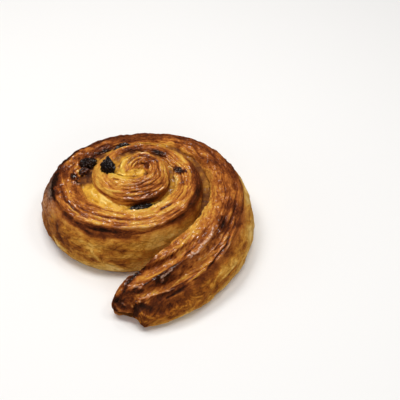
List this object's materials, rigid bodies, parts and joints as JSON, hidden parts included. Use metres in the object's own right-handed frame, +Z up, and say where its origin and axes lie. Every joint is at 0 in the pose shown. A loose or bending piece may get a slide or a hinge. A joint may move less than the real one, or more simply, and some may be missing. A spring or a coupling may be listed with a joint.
{
  "type": "pain aux raisins",
  "caption": "Coiled breakfast pastry of laminated dough with custard in its spiral groove and raisins, lying flat with its free end beside the coil.",
  "frame": {"origin": "middle of the bounding box, at the flat underside", "axes": "+Z up from the surface it lies on; +Y towards the back of the coil; the free end of the dough lies at the front, towards -Y"},
  "size_m": [0.1258, 0.1376, 0.0438],
  "materials": {
    "baked_dough": "browned laminated dough with a thin glaze",
    "baked_custard": "baked custard, satin",
    "raisin_skin": "wrinkled dark raisin skin, slightly glossy"
  },
  "bodies": {
    "root": {"dough": "baked_dough", "custard": "baked_custard", "raisin_1": "raisin_skin", "raisin_2": "raisin_skin", "raisin_3": "raisin_skin", "raisin_4": "raisin_skin", "raisin_5": "raisin_skin", "raisin_6": "raisin_skin"}
  },
  "joints": []
}
